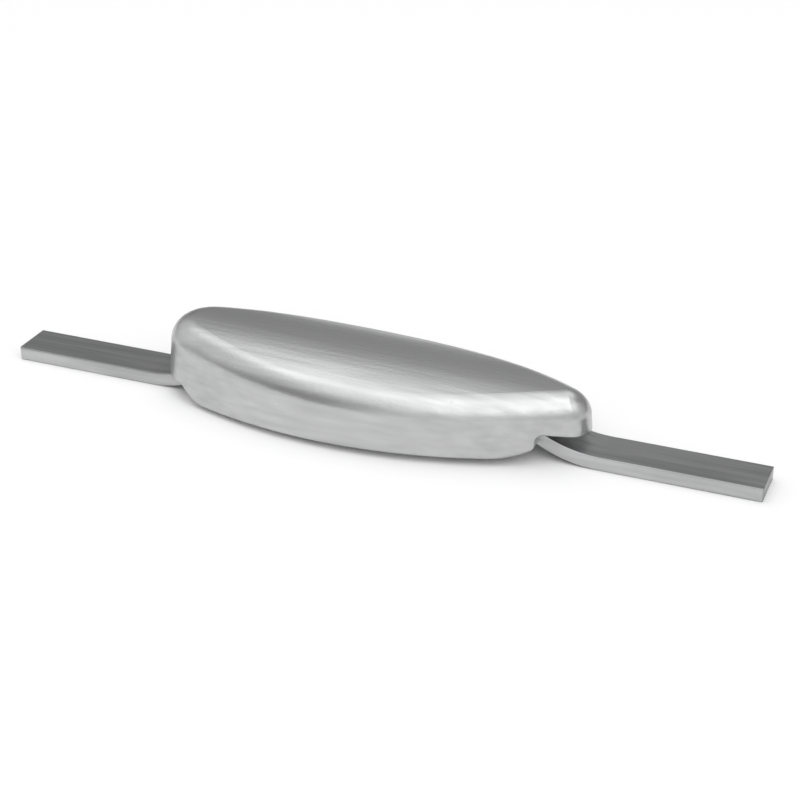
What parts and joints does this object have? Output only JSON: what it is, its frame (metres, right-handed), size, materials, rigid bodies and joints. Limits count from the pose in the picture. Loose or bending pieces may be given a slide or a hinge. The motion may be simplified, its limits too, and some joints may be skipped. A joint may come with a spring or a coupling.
{
  "type": "sacrificial anode",
  "caption": "Weld-on hull anode: a drop-shaped zinc casting on a flat steel strap that steps up through it and ends in a plain tab at each side.",
  "frame": {"origin": "On the hull, in the plane of the two tabs' undersides, midway between the strap's ends and on its centre line", "axes": "+X along the strap towards the casting's slim end, +Z away from the hull, +Y across the strap"},
  "size_m": [0.34, 0.0698, 0.034],
  "materials": {
    "cast_zinc": "satin, as cast",
    "steel_bar": "satin, bright drawn bar"
  },
  "bodies": {
    "root": {"zinc_casting": "cast_zinc", "steel_strap": "steel_bar"}
  },
  "joints": []
}
